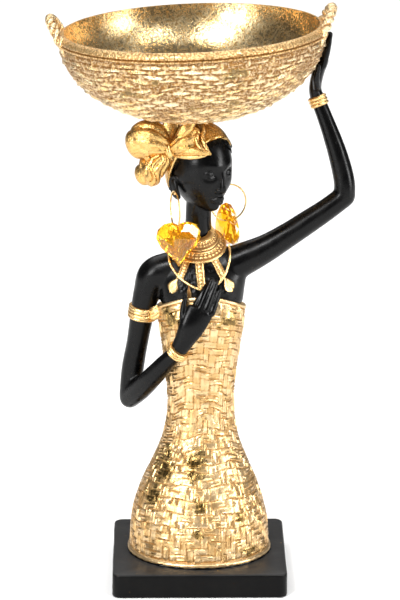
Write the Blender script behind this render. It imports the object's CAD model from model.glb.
# %% [markdown]
# # A gilt figurine of a woman with a basket
#
# The object is a small resin figurine, about 32 cm tall. One casting holds the plinth, the woven dress,
# the woman and the round basket on her head. It is painted satin black, and the dress, the headwrap, the
# jewellery and the basket are covered in gold leaf with an amber patina. Two wire hoops with clear heart
# beads hang in her ears. This lesson builds each form with numbers and small functions, then fuses them
# into one skin.

import math

import bpy
import numpy as np
from mathutils import Matrix, Vector


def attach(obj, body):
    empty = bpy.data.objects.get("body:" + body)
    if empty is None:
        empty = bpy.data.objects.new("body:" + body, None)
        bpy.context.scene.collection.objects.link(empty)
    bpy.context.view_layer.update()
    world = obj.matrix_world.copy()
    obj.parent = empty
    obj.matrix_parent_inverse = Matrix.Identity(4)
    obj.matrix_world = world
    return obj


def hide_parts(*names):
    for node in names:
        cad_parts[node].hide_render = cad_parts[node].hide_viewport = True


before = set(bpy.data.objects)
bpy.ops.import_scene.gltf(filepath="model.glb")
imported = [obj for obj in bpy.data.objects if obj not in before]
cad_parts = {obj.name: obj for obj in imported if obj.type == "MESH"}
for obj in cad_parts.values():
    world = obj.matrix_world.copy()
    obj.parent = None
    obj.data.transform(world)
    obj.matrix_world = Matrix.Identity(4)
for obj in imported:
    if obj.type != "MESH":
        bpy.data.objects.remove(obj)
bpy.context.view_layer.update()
MM = 0.001
print("nodes:", sorted(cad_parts))

# %% [markdown]
# ## Camera, floor and light
#
# A product photograph of a small thing is taken from far away with a long lens, a little above it. The
# camera here has that long lens. The lights are big and soft, because gold only looks like gold when it
# has large bright shapes and some darker room to reflect. The floor is plain and pale and reaches behind
# the object.

# %% Camera
PITCH = math.radians(15.371)
TURN = math.radians(-0.543)
camera_data = bpy.data.cameras.new("camera")
camera_data.sensor_fit = "HORIZONTAL"
camera_data.sensor_width = 36
camera_data.lens = 319.04
camera_data.clip_end = 60
camera = bpy.data.objects.new("camera", camera_data)
camera.location = Matrix.Rotation(TURN, 3, "Z") @ Vector((0.00054, -1.8751, 0.6717))
camera.rotation_euler = (math.pi / 2 - PITCH, 0, TURN)
bpy.context.scene.collection.objects.link(camera)
bpy.context.scene.camera = camera
bpy.context.scene.view_settings.view_transform = "Standard"
print("camera stands at", [round(v, 3) for v in camera.location])

# %% Lights


def soft_light(name, place, aim, power, width, height):
    light = bpy.data.lights.new(name, "AREA")
    light.shape = "RECTANGLE"
    light.size, light.size_y = width, height
    light.energy = power
    holder = bpy.data.objects.new(name, light)
    holder.location = place
    holder.rotation_euler = (Vector(aim) - Vector(place)).to_track_quat("-Z", "Y").to_euler()
    bpy.context.scene.collection.objects.link(holder)


MIDDLE = (0, 0, 0.17)
soft_light("window_left", (-1.2, -1.3, 0.7), MIDDLE, 21, 0.42, 0.8)
soft_light("window_right", (1.5, -0.6, 0.5), MIDDLE, 15, 0.38, 0.8)
soft_light("high_left", (-0.75, -1.3, 1.75), MIDDLE, 27, 0.6, 0.5)
soft_light("high_right", (0.9, -1.1, 1.7), MIDDLE, 18, 0.5, 0.42)
soft_light("overhead", (0.0, 1.8, 2.4), (0, 1.8, 0), 84, 3.4, 3.4)
room = bpy.data.worlds.new("room")
room.use_nodes = True
room.node_tree.nodes["Background"].inputs["Color"].default_value = (1, 1, 1, 1)
room.node_tree.nodes["Background"].inputs["Strength"].default_value = 0.12
bpy.context.scene.world = room

# %% [markdown]
# ## Shader arithmetic
#
# A finish is a small graph of nodes. Writing it node by node hides the idea, so a shader value is wrapped
# in a class that understands plus, minus and times. An expression such as `1 - mask` then adds its own
# Math node. Colours never go through Math nodes, which would turn them grey: they are mixed by `blend`.

# %% Shader values as Python expressions


class Shade:
    """One output of a node, usable in arithmetic."""

    def __init__(self, finish, socket):
        self.finish = finish
        self.socket = socket

    def math(self, operation, *values):
        return self.finish.node("ShaderNodeMath", {"operation": operation}, dict(enumerate(values)))

    def __add__(self, other):
        return self.math("ADD", self, other)

    def __sub__(self, other):
        return self.math("SUBTRACT", self, other)

    def __rsub__(self, other):
        return self.math("SUBTRACT", other, self)

    def __mul__(self, other):
        return self.math("MULTIPLY", self, other)

    __radd__ = __add__
    __rmul__ = __mul__

    def top(self, other):
        return self.math("MAXIMUM", self, other)

    def low(self, other):
        return self.math("MINIMUM", self, other)

    def step(self, start, end):
        """0 below start, 1 above end, smooth between."""
        values = {"Value": self, "From Min": start, "From Max": end}
        settings = {"interpolation_type": "SMOOTHSTEP", "clamp": True}
        return self.finish.node("ShaderNodeMapRange", settings, values)


class Finish:
    """A material with one Principled shader, built by expressions."""

    def __init__(self, name, **plain):
        self.material = bpy.data.materials.new(name)
        self.material.use_nodes = True
        self.tree = self.material.node_tree
        self.shader = self.tree.nodes["Principled BSDF"]
        self.put(self.shader, plain)

    def put(self, target, values):
        for key, value in values.items():
            key = key.replace("_", " ") if isinstance(key, str) else key
            socket = target.inputs[key]
            if isinstance(value, Shade):
                self.tree.links.new(value.socket, socket)
            elif isinstance(value, tuple) and socket.type == "RGBA":
                socket.default_value = (*value, 1)
            else:
                socket.default_value = value

    def node(self, kind, settings=None, values=None, out=0):
        made = self.tree.nodes.new(kind)
        for key, value in (settings or {}).items():
            setattr(made, key, value)
        self.put(made, values or {})
        return Shade(self, made.outputs[out])

    def vector(self, operation, *values, out=0):
        return self.node("ShaderNodeVectorMath", {"operation": operation}, dict(enumerate(values)), out)

    def here(self):
        """Object coordinates, in metres."""
        return self.node("ShaderNodeTexCoord", out="Object")

    def part(self, vector, axis):
        """X, Y or Z of a vector."""
        return self.node("ShaderNodeSeparateXYZ", None, {0: vector}, axis)

    def kept(self, name):
        """A value stored on the mesh, such as how deep a point lies in the relief."""
        return self.node("ShaderNodeAttribute", {"attribute_name": name}, out="Fac")

    def noise(self, size, detail=3.0, rough=0.55, stretch=(1, 1, 1), warp=0.0):
        """Cloudy noise; size is one cloud in millimetres."""
        return self.node("ShaderNodeTexNoise", None, {
            "Vector": self.vector("MULTIPLY", self.here(), stretch), "Scale": 1 / (size * MM),
            "Detail": detail, "Roughness": rough, "Distortion": warp})

    def grains(self, size):
        """Distance to the middle of the nearest grain; size is one grain in millimetres."""
        return self.node("ShaderNodeTexVoronoi", None, {"Vector": self.here(), "Scale": 1 / (size * MM)})

    def blend(self, share, low, high):
        """A colour between two colours."""
        return self.node("ShaderNodeMix", {"data_type": "RGBA"}, {0: share, 6: low, 7: high}, out=2)

    def near(self, spots):
        """1 in the middle of the nearest spot, 0 at its edge, below 0 outside; spots are in millimetres."""
        here = self.here()
        best = None
        for centre, radii in spots:
            away = self.vector("SUBTRACT", here, tuple(v * MM for v in centre))
            away = self.vector("DIVIDE", away, tuple(v * MM for v in radii))
            close = 1 - self.vector("LENGTH", away, out="Value")
            best = close if best is None else best.top(close)
        return best

    def bump(self, height, depth, strength=1.0):
        """A normal from a height; depth is in millimetres."""
        values = {"Height": height, "Distance": depth * MM, "Strength": strength}
        return self.node("ShaderNodeBump", None, values)

    def wear(self, **values):
        """Feeds the shader's sockets and gives the material."""
        self.put(self.shader, values)
        return self.material


print("shader arithmetic:", [name for name in vars(Shade) if not name.startswith("__")])

# %% [markdown]
# ## The floor
#
# The floor is the only thing in the picture that isn't part of the object. It is a wide sheet with
# faint clouds of tone, so that it reads as a surface and not as a hole.

# %% Pale floor
floor_mesh = bpy.data.meshes.new("floor")
REACH = 14
floor_mesh.from_pydata([(-REACH, -REACH, 0), (REACH, -REACH, 0), (REACH, REACH, 0), (-REACH, REACH, 0)],
                       [], [(0, 1, 2, 3)])
floor = bpy.data.objects.new("floor", floor_mesh)
bpy.context.scene.collection.objects.link(floor)
paper = Finish("paper", Roughness=0.75)
paper_tint = paper.blend(paper.noise(60, 2), (0.93, 0.93, 0.925), (0.97, 0.97, 0.965))
floor_mesh.materials.append(paper.wear(Base_Color=paper_tint))
print("floor is", 2 * REACH, "m across")

# %% [markdown]
# ## Finishes
#
# The black parts are satin paint over resin: nearly black, with a soft sheen that breaks up a little,
# because the casting under it isn't perfectly smooth. The plinth's top has gathered a thin pale film and
# a few flecks of gold. One function makes both blacks.

# %% Satin black paint
FILM_STARTS = 0.0126, 0.0134


def satin_black(name, shine, gloss, depth, dust=0):
    """shine is the strength of reflections, gloss the least roughness, depth how light the black is."""
    paint = Finish(name, Specular_IOR_Level=shine)
    cloud = paint.noise(9, 4)
    fine = paint.noise(0.7, 2)
    dark, light = [tuple(v * depth for v in tint) for tint in ((0.6, 0.6, 0.65), (1.3, 1.25, 1.2))]
    tint = paint.blend(cloud.step(0.35, 0.75), dark, light)
    if dust:
        film = paint.part(paint.here(), "Z").step(*FILM_STARTS) * (0.6 + 0.8 * cloud) * dust
        fleck = paint.grains(5.5).step(0.09, 0.04) * paint.noise(14, 1).step(0.6, 0.72)
        tint = paint.blend(fleck, paint.blend(film, tint, (1, 1, 1)), (0.55, 0.33, 0.09))
        paint.wear(Metallic=fleck)
    return paint.wear(
        Base_Color=tint,
        Roughness=gloss + 0.12 * cloud.step(0.3, 0.8) + 0.05 * fine,
        Normal=paint.bump(fine + 2.2 * cloud, 0.05, 0.5),
    )


skin_paint = satin_black("satin_black_skin", 0.19, 0.2, 0.0017)
plinth_paint = satin_black("satin_black_plinth", 0.13, 0.28, 0.0025, dust=0.024)
print("black finishes:", skin_paint.name, plinth_paint.name)

# %% [markdown]
# The gold parts are leaf, which is real thin metal. It is bright on the high places, and amber where
# patina was wiped into the hollows and left standing on the flanks. Each mesh point stores how deep it
# lies, as `hollow`, and a shade of its own for every strand, as `tone`, and the finish reads both. Here
# and there the leaf is so smooth that it mirrors the dark room. Those flakes could be painted by hand,
# but noise that is cut off at a level gives their ragged edges, and a few ovals say where on the dress
# they gather.

# %% Gold leaf with patina


def gold_leaf(name, high, mid, deep, mirror, grain, patch, crumple, wipe=1.3, crust=0.5, rough=0.13,
              glint=0.0, spots=()):
    """high, mid and deep are the colours of ridge, slope and groove; grain and patch the sizes of crumbs and
    clouds in millimetres; mirror and glint the strength of dark flakes and bright crumbs; wipe the patina's;
    crumple and crust the bumps'; rough the least roughness, and spots where the flakes gather."""
    leaf = Finish(name, IOR=1.8)
    hollow = leaf.kept("hollow")
    tone = leaf.kept("tone")
    cloud = leaf.noise(patch, 3)
    flake = leaf.noise(patch * 0.3, 4, 0.7)
    fine = leaf.noise(grain, 3, 0.7, warp=0.4)
    fold = leaf.noise(2.6, 3, 0.6, warp=1.2)
    sideways = leaf.part(leaf.node("ShaderNodeNewGeometry", out="Normal"), "X")
    flank = (sideways * sideways).step(0.45, 1.0)
    wiped = (hollow * wipe + 0.45 * cloud + 0.42 * flank - 0.52).step(0.25, 1.0)
    base = leaf.blend((0.6 * flake + 0.5 * tone).step(0.3, 0.8), mid, high)
    base = leaf.blend(wiped, base, deep)
    if glint:
        base = leaf.blend(leaf.noise(grain * 1.4, 2, 0.8).step(0.5, 0.6) * glint, base, high)
    bare = leaf.near(spots).top(-0.6) if spots else cloud.step(0.5, 0.72) - 0.35
    olive = (0.5 * bare + 0.45 * tone + 0.35 * flake).step(0.5, 0.58) * mirror
    dark = (0.5 * bare + 0.3 * tone + 0.55 * leaf.noise(1.6, 2, 0.7, (1, 1, 0.4))).step(0.66, 0.72) * mirror
    pit = fine.step(0.54, 0.62) * hollow.step(0.35, 0.85) * 0.9
    shadow = dark.top(pit)
    base = leaf.blend(olive, base, (0.42, 0.26, 0.065))
    return leaf.wear(
        Base_Color=leaf.blend(shadow, base, (0.075, 0.042, 0.007)),
        Metallic=0.96 - 0.35 * wiped,
        Roughness=(rough + 0.25 * fine + 0.2 * wiped - 0.12 * olive).top(0.07),
        Normal=leaf.bump(crust * fine * (1 - 0.7 * dark) + fold * crumple, 0.45, 0.7),
    )


DRESS_SPOTS = [
    ((-16, -13, 150), (7, 9, 8)), ((15, -14, 148), (8, 9, 7)), ((-20, -20, 67), (8, 15, 14)),
    ((-26, -20, 50), (5, 12, 8)), ((-3, -24, 68), (8, 12, 10)), ((1, -30, 47), (5, 9, 5)),
    ((0, -35, 32), (4, 8, 3)), ((22, -28, 39), (4, 10, 4)), ((27, -23, 20), (7, 9, 4)),
    ((-12, 22, 60), (12, 12, 14)), ((10, 26, 40), (10, 12, 12)), ((0, 14, 128), (12, 9, 12)),
]
dress_leaf = gold_leaf("gold_leaf_dress", (0.86, 0.62, 0.34), (0.66, 0.42, 0.175), (0.44, 0.22, 0.05),
                       0.72, 0.9, 15, crumple=0.3, wipe=1.2, crust=0.35, rough=0.2, spots=DRESS_SPOTS)
basket_leaf = gold_leaf("gold_leaf_basket", (1.0, 0.80, 0.50), (0.82, 0.54, 0.23), (0.30, 0.13, 0.015),
                        0.6, 0.85, 11, crumple=0.5, wipe=1.9, crust=1.9, glint=0.6)
wrap_leaf = gold_leaf("gold_leaf_wrap", (0.88, 0.58, 0.23), (0.56, 0.295, 0.06), (0.36, 0.15, 0.018),
                      0.6, 0.8, 9, crumple=1.1, glint=0.25)
trim_gilt = gold_leaf("gilt_trim", (0.95, 0.64, 0.28), (0.74, 0.44, 0.14), (0.26, 0.11, 0.015),
                      0.0, 0.6, 10, crumple=0.2, wipe=1.7)
print("leaf finishes:", [leaf.name for leaf in (dress_leaf, basket_leaf, wrap_leaf, trim_gilt)])

# %% [markdown]
# The inside of the basket is smooth, and the leaf there lies in loose crumbs: pale gold, olive and almost
# black, under a bright polish. The rim band is stippled like a sponge print.

# %% Leaf inside the basket and on the rim


def bowl_leaf():
    leaf = Finish("gold_leaf_bowl", IOR=1.8)
    cloud = leaf.noise(24, 3)
    crumb = leaf.noise(1.5, 2, 0.85)
    smear = leaf.noise(5, 3, 0.6, warp=0.8)
    bare = (0.75 * crumb + 0.45 * cloud + 0.15 * smear).step(0.68, 0.73)
    gold = leaf.blend(crumb.step(0.38, 0.62), (0.68, 0.42, 0.15), (1.0, 0.82, 0.50))
    return leaf.wear(
        Base_Color=leaf.blend(bare * 0.85, gold, (0.06, 0.036, 0.008)),
        Metallic=0.97 - 0.1 * bare,
        Roughness=0.14 + 0.26 * crumb,
        Normal=leaf.bump(crumb + 0.6 * smear, 0.3, 0.55),
    )


def rim_leaf():
    leaf = Finish("gold_leaf_rim", IOR=1.8)
    cloud = leaf.noise(16, 3)
    stipple = leaf.grains(1.15)
    hollow = leaf.kept("hollow")
    dip = stipple.step(0.25, 0.75)
    worn = leaf.noise(1.6, 3, 0.7).step(0.55, 0.61) * cloud.step(0.4, 0.56)
    base = leaf.blend((0.9 * dip + 0.9 * hollow).low(1), (0.92, 0.64, 0.30), (0.34, 0.16, 0.03))
    return leaf.wear(
        Base_Color=leaf.blend(worn * 0.8, base, (0.09, 0.055, 0.012)),
        Metallic=0.9 - 0.3 * dip,
        Roughness=0.28 + 0.22 * dip,
        Normal=leaf.bump(1 - dip, 0.22, 0.8),
    )


inner_leaf = bowl_leaf()
band_leaf = rim_leaf()
CASTING = [skin_paint, plinth_paint, dress_leaf, basket_leaf, wrap_leaf, trim_gilt, inner_leaf, band_leaf]

# %% [markdown]
# The hoops are polished wire, a little worn. The hearts are clear acrylic: most light goes through, and
# their colour is a deep amber. A faint glow of the same colour stands in for the light that a cut stone
# gathers from all round, of which a plain studio has too little.

# %% Gilt wire and clear amber acrylic
wire = Finish("gilt_wire", Metallic=1.0)
wire_cloud = wire.noise(3, 3)
wire_gold = wire.wear(
    Base_Color=wire.blend(wire_cloud.step(0.4, 0.7), (0.92, 0.66, 0.27), (0.55, 0.32, 0.09)),
    Roughness=0.16 + 0.2 * wire_cloud)
clear = Finish("clear_amber", Transmission_Weight=0.97, IOR=1.6, Emission_Strength=0.09)
clear_cloud = clear.noise(9, 2)
clear_mask = clear_cloud.step(0.35, 0.7)
amber = clear.wear(
    Base_Color=clear.blend(clear_mask, (1.0, 0.46, 0.01), (1.0, 0.64, 0.05)),
    Emission_Color=clear.blend(clear_mask, (1.0, 0.33, 0.0), (1.0, 0.55, 0.02)),
    Roughness=0.012 + 0.02 * clear_cloud)
print("earring finishes:", wire_gold.name, amber.name)

# %% [markdown]
# ## Working with forms
#
# Every form is a pair of plain arrays: points in millimetres and faces. Most are skins: rings of points,
# one after another, closed at both ends. Where two rings have different numbers of points, the strip
# between them is sewn like a zip. That lets a weave keep the same strand width where the dress narrows.

# %% Rings to a closed skin


def sew(low, high, low_start, high_start):
    """Faces between two rings, each given by the angles of its points."""
    n, m = len(low), len(high)
    if n == m:
        nxt = (np.arange(n) + 1) % n
        here = np.arange(n)
        return np.stack([low_start + here, low_start + nxt, high_start + nxt, high_start + here], 1).tolist()
    faces, i, j = [], 0, 0
    turn = 2 * math.pi
    while i < n or j < m:
        next_low = low[(i + 1) % n] + turn * ((i + 1) // n)
        next_high = high[(j + 1) % m] + turn * ((j + 1) // m)
        a, b = low_start + i % n, high_start + j % m
        if j >= m or (i < n and next_low <= next_high):
            faces.append([a, low_start + (i + 1) % n, b])
            i += 1
        else:
            faces.append([a, high_start + (j + 1) % m, b])
            j += 1
    return faces


def skin(rings, start, end):
    """rings: a list of (angles, points). Points run anticlockwise seen against the way the rings go."""
    points = [p for _, p in rings]
    offsets = np.cumsum([0] + [len(p) for p in points]).tolist()
    faces = []
    for k in range(len(rings) - 1):
        faces += sew(rings[k][0], rings[k + 1][0], offsets[k], offsets[k + 1])
    first, last, tip = len(points[0]), len(points[-1]), offsets[-1]
    faces += [[tip, (j + 1) % first, j] for j in range(first)]
    base = offsets[-2]
    faces += [[tip + 1, base + j, base + (j + 1) % last] for j in range(last)]
    return np.vstack([*points, [start], [end]]), faces


def even(count):
    return 2 * math.pi * np.arange(count) / count


def round_ring(angles, wide, z, deep=None, x=0.0, y=0.0):
    """A level ring round x, y. It is an oval where deep is given."""
    deep = wide if deep is None else deep
    return np.stack([x + wide * np.cos(angles), y + deep * np.sin(angles), z + 0 * angles], -1)


print("a ring of 4 sewn to a ring of 6 takes", len(sew(even(4), even(6), 0, 4)), "triangles")

# %% [markdown]
# A limb is a skin of oval rings along a smooth path with rounded ends. It makes arms, fingers, cords and
# the lobes of the headwrap. The stations give the path and the two half widths, as a wire armature with
# clay would.

# %% Limbs


def glide(t, span, before, after, slope_before, slope_after):
    """A smooth curve from one row of values to the next, for t from 0 to 1, with the slope at each."""
    t2, t3 = t * t, t * t * t
    return ((2 * t3 - 3 * t2 + 1) * before + (t3 - 2 * t2 + t) * span * slope_before
            + (3 * t2 - 2 * t3) * after + (t3 - t2) * span * slope_after)


def smooth_path(stations, count):
    """Points on a smooth curve through the stations, spaced by the square root of their distance."""
    p = np.array([[*s, s[3]][:5] if len(s) < 5 else s[:5] for s in stations], float)
    gaps = np.sqrt(np.maximum(np.linalg.norm(np.diff(p[:, :3], axis=0), axis=1), 1e-6))
    knots = np.concatenate([[0], np.cumsum(gaps)])
    slopes = np.empty_like(p)
    slopes[1:-1] = (p[2:] - p[:-2]) / (knots[2:] - knots[:-2])[:, None]
    slopes[0] = (p[1] - p[0]) / gaps[0]
    slopes[-1] = (p[-1] - p[-2]) / gaps[-1]
    u = np.linspace(0, knots[-1], count)
    i = np.clip(np.searchsorted(knots, u, side="right") - 1, 0, len(gaps) - 1)
    t = ((u - knots[i]) / gaps[i])[:, None]
    return glide(t, gaps[i][:, None], p[i], p[i + 1], slopes[i], slopes[i + 1])


def limb(stations, sides=24, steps=24, side=(1, 0, 0), shape=None, cap=4):
    """stations hold x, y, z and one or two half widths, the first along side; cap is the rings per end."""
    rows = smooth_path(stations, steps + 1)
    along = np.gradient(rows[:, :3], axis=0)
    along /= np.linalg.norm(along, axis=1)[:, None]
    angles = even(sides)
    rings = []

    def ring(i, past=0.0):
        """The ring at a row, or past it by an angle round the end's dome."""
        way, reach = along[i], min(rows[i, 3:5])
        at = rows[i, :3] + way * reach * math.sin(past)
        wide, deep = rows[i, 3:5] * math.cos(past)
        across = np.array(side, float) - way * np.dot(side, way)
        across /= np.linalg.norm(across)
        other = np.cross(way, across)
        grow = np.ones(sides) if shape is None else shape(angles, i / steps)
        rings.append((angles, at + np.outer(wide * grow * np.cos(angles), across)
                      + np.outer(deep * grow * np.sin(angles), other)))

    dome = [0.5 * math.pi * k / (cap + 0.6) for k in range(1, cap + 1)]
    for past in dome[::-1]:
        ring(0, -past)
    for i in range(steps + 1):
        ring(i)
    for past in dome:
        ring(steps, past)
    tips = [rows[i, :3] + sign * along[i] * min(rows[i, 3:5]) for i, sign in ((0, -1), (-1, 1))]
    return skin(rings, *tips)


print("a short limb has", len(limb([[0, 0, 0, 1], [0, 0, 5, 1]])[0]), "points")

# %% [markdown]
# A ball is a skin too, of circles from pole to pole, and any function of direction can push its points
# out. A turned ring is what a lathe makes: a closed profile swept round an axis. A slab is a raised patch
# with a back, for relief that lies on the chest.

# %% Balls, turned rings and slabs


def ball(cols, rows, place):
    """place takes unit directions, one per row of an array, and gives points."""
    angles = even(cols)
    rings = []
    for k in range(1, rows):
        low = -math.pi / 2 + math.pi * k / rows
        rings.append((angles, place(round_ring(angles, math.cos(low), math.sin(low)))))
    poles = place(np.array([[0, 0, -1.0], [0, 0, 1.0]]))
    return skin(rings, poles[0], poles[1])


def oval(centre, size, cols=24, rows=16):
    return ball(cols, rows, lambda d: np.array(centre) + np.array(size) * d)


def closed_grid(points):
    """Faces of a grid that closes on itself both ways; the normals follow (row, column)."""
    n, m = points.shape[:2]
    at = np.arange(n * m).reshape(n, m)
    a, b = at, np.roll(at, -1, 1)
    c, d = np.roll(b, -1, 0), np.roll(at, -1, 0)
    return points.reshape(-1, 3), np.stack([a, b, c, d], -1).reshape(-1, 4).tolist()


def turned(profile, push):
    """profile: radius and height, anticlockwise with the radius to the right. push adds to the radius,
    with one row for each column round the ring."""
    profile = np.array(profile, float)
    angles = even(len(push))[:, None]
    return closed_grid(round_ring(angles, profile[:, 0] + push, profile[:, 1])[:, ::-1])


def slab(top, back):
    """A closed patch: a grid of points that faces outwards for (row, column), and a plain back inside the
    body. back has the same grid, but only its border and its middle are used."""
    n, m = top.shape[:2]
    at = np.arange(n * m).reshape(n, m)
    faces = np.stack([at[:-1, :-1], at[:-1, 1:], at[1:, 1:], at[1:, :-1]], -1).reshape(-1, 4).tolist()
    rim = [*at[0, :], *at[1:, -1], *at[-1, -2::-1], *at[-2:0:-1, 0]]
    edge = n * m + np.arange(len(rim))
    hub = n * m + len(rim)
    for k in range(len(rim)):
        faces += [[rim[k], rim[k - 1], edge[k - 1], edge[k]], [edge[k], edge[k - 1], hub]]
    points = np.vstack([top.reshape(-1, 3), back.reshape(-1, 3)[rim], back[n // 2, m // 2][None]])
    return points, [[int(v) for v in face] for face in faces]


print("a small ball has", len(oval((0, 0, 0), (1, 1, 1))[0]), "points")

# %% [markdown]
# Arrays become Blender objects only when they are needed. `cast` makes the object and stores the two
# values that the finishes read.

# %% Casting


def store(mesh, hollow=0.0, tone=0.5):
    """How deep each point lies, and its own shade of gold. One number counts for all points."""
    for name, values in (("hollow", hollow), ("tone", tone)):
        place = mesh.attributes.get(name) or mesh.attributes.new(name, "FLOAT", "POINT")
        values = np.broadcast_to(np.asarray(values, np.float32), len(mesh.vertices))
        place.data.foreach_set("value", values.copy())


def coat(mesh, finish):
    """Every form of the casting lists all its finishes in one order, so that a union can keep them apart."""
    mesh.materials.clear()
    for entry in CASTING if finish in CASTING else [finish]:
        mesh.materials.append(entry)
    slot = CASTING.index(finish) if finish in CASTING else 0
    mesh.polygons.foreach_set("material_index", np.full(len(mesh.polygons), slot, np.int32))


def cast(name, form, finish, hollow=0.0, tone=0.5, turn=None):
    points, faces = form
    mesh = bpy.data.meshes.new(name)
    mesh.from_pydata((points * MM).tolist(), [], faces)
    if turn is not None:
        mesh.transform(turn)
    store(mesh, hollow, tone)
    coat(mesh, finish)
    piece = bpy.data.objects.new(name, mesh)
    bpy.context.scene.collection.objects.link(piece)
    return piece


def count(piece):
    """Triangles in a piece."""
    return sum(len(f.vertices) - 2 for f in piece.data.polygons)


print("finishes on the casting:", len(CASTING))

# %% [markdown]
# `melt` is for soft joins: it lets Blender rebuild overlapping forms as one skin of small cells, smooths
# it and thins it, which is how clay parts are blended with a wet thumb. `fuse` is for crisp joins: a
# Boolean union that keeps each form's own finish. The same tool cuts a form away with DIFFERENCE.

# %% Melting and fusing


def settle(piece):
    """Applies all modifiers."""
    graph = bpy.context.evaluated_depsgraph_get()
    graph.update()
    made = bpy.data.meshes.new_from_object(piece.evaluated_get(graph))
    piece.modifiers.clear()
    old, piece.data = piece.data, made
    bpy.data.meshes.remove(old)


def gather(forms):
    """Several forms as one."""
    points, faces, start = [], [], 0
    for p, f in forms:
        points.append(p)
        faces += [[v + start for v in face] for face in f]
        start += len(p)
    return np.vstack(points), faces


def melt(name, forms, finish, cell, passes, keep, turn=None):
    """cell in millimetres, passes of smoothing, keep is the number of triangles wanted."""
    piece = cast(name, gather(forms), finish, turn=turn)
    remesh = piece.modifiers.new("cells", "REMESH")
    remesh.mode = "VOXEL"
    remesh.voxel_size = cell * MM
    remesh.use_smooth_shade = True
    settle(piece)
    smooth = piece.modifiers.new("thumb", "SMOOTH")
    smooth.factor = 0.5
    smooth.iterations = passes
    settle(piece)
    triangles = count(piece)
    thin = piece.modifiers.new("thin", "DECIMATE")
    thin.ratio = min(1, keep / triangles)
    settle(piece)
    store(piece.data)
    coat(piece.data, finish)
    print(name, "melted:", triangles, "to", count(piece), "triangles")
    return piece


def fuse(whole, *others, operation="UNION"):
    """Joins the others to the whole, or cuts them out of it."""
    for other in others:
        cut = whole.modifiers.new("join", "BOOLEAN")
        cut.operation = operation
        cut.solver = "MANIFOLD"
        cut.object = other
        settle(whole)
        bpy.data.objects.remove(other)
    return whole


# %% [markdown]
# ## The plinth
#
# The foot is a square slab with rounded corners and softened edges. It could be a cube with a bevel, but
# the real casting isn't quite flat, so its rings of points get a slow ripple of a tenth of a millimetre.

# %% Plinth
PLINTH = {"side": 96, "height": 13.6, "corner": 4.5, "edge": 1.3}
CORNER_POINTS, SIDE_POINTS = 5, 6


def square_ring(half, corner, z):
    straight = half - corner
    bend = np.linspace(-math.pi / 2, 0, CORNER_POINTS)
    run = np.linspace(-straight, straight, SIDE_POINTS + 2)[1:-1]
    quarter = [np.array([straight, -straight]) + corner * np.array([math.cos(a), math.sin(a)]) for a in bend]
    quarter += [np.array([half, y]) for y in run]
    points = []
    for k in range(4):
        turn = k * math.pi / 2
        spin = np.array([[math.cos(turn), -math.sin(turn)], [math.sin(turn), math.cos(turn)]])
        points += [spin @ p for p in quarter]
    points = np.array(points)
    ripple = 0.1 * np.sin(points[:, 0] * 0.11 + 1) * np.sin(points[:, 1] * 0.13 + z * 0.3)
    grown = points * (1 + ripple / half)[:, None]
    return (even(len(points)), np.column_stack([grown, np.full(len(points), z)]))


def plinth_form():
    half, edge, top, corner = PLINTH["side"] / 2 - 0.1, PLINTH["edge"], PLINTH["height"], PLINTH["corner"]
    bend = [0.5 * math.pi * k / 4 for k in range(5)]
    eased = [(edge * (1 - math.sin(q)), edge * (1 - math.cos(q))) for q in bend]
    eased += [(0, edge + (top - 2 * edge) * share) for share in (0.33, 0.66)]
    eased += [(edge * (1 - math.cos(q)), top - edge * (1 - math.sin(q))) for q in bend]
    rings = [square_ring(half - inset, corner - inset * 0.6, z) for inset, z in eased]
    rings += [square_ring(half * share, corner * share, top) for share in (0.8, 0.55, 0.3)]
    return skin(rings, (0, 0, 0), (0, 0, top))


plinth = cast("plinth", plinth_form(), plinth_paint)
print("plinth triangles:", count(plinth))

# %% [markdown]
# ## The dress
#
# The body under the dress is a table of ovals by height, the same as in the measured solid. The cloth is
# cast as a twill of bundles of two strands. Seen as small square cells, two cells in a row belong to a
# bundle that runs across, the next two to bundles that run up, and each row starts one cell further on.
# The mesh follows the strands, with a row of points on every ridge and in every groove, so the relief is
# real and no points are wasted. A row whose cells would get too wide or too narrow takes another multiple
# of four.

# %% The body's table of ovals
DRESS_ROWS = [
    [13.0, 0.0, 38.6, -1.0, 37.2], [20.0, 0.0, 38.5, -1.0, 36.8], [34.0, -0.1, 37.4, -1.0, 34.6],
    [50.0, 0.0, 33.0, -0.8, 29.4], [64.0, 0.4, 27.0, -0.6, 23.6], [77.0, 0.6, 21.7, -0.4, 18.8],
    [90.0, 0.9, 18.9, -0.3, 16.3], [104.0, 0.9, 18.5, -0.4, 15.6], [118.0, 0.8, 19.8, -0.9, 16.0],
    [132.0, 1.1, 21.6, -2.0, 17.4], [146.0, 1.2, 23.6, -2.6, 18.2], [158.0, 1.3, 24.4, -2.0, 17.2],
    [168.0, 1.5, 24.6, -1.2, 15.2],
]
TORSO_ROWS = [
    [150.0, 1.3, 22.0, -2.0, 16.2], [162.0, 1.5, 23.2, -1.6, 15.4], [171.0, 2.0, 23.6, -0.8, 13.8],
    [179.0, 2.2, 20.5, 0.4, 11.6], [186.0, 1.2, 13.8, 1.2, 9.6], [192.0, 0.0, 8.6, 1.2, 8.0],
    [199.0, -0.4, 7.2, 0.6, 7.2], [212.0, 0.0, 7.0, 0.0, 7.2], [220.0, 0.4, 6.6, 0.6, 7.0],
]


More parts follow.
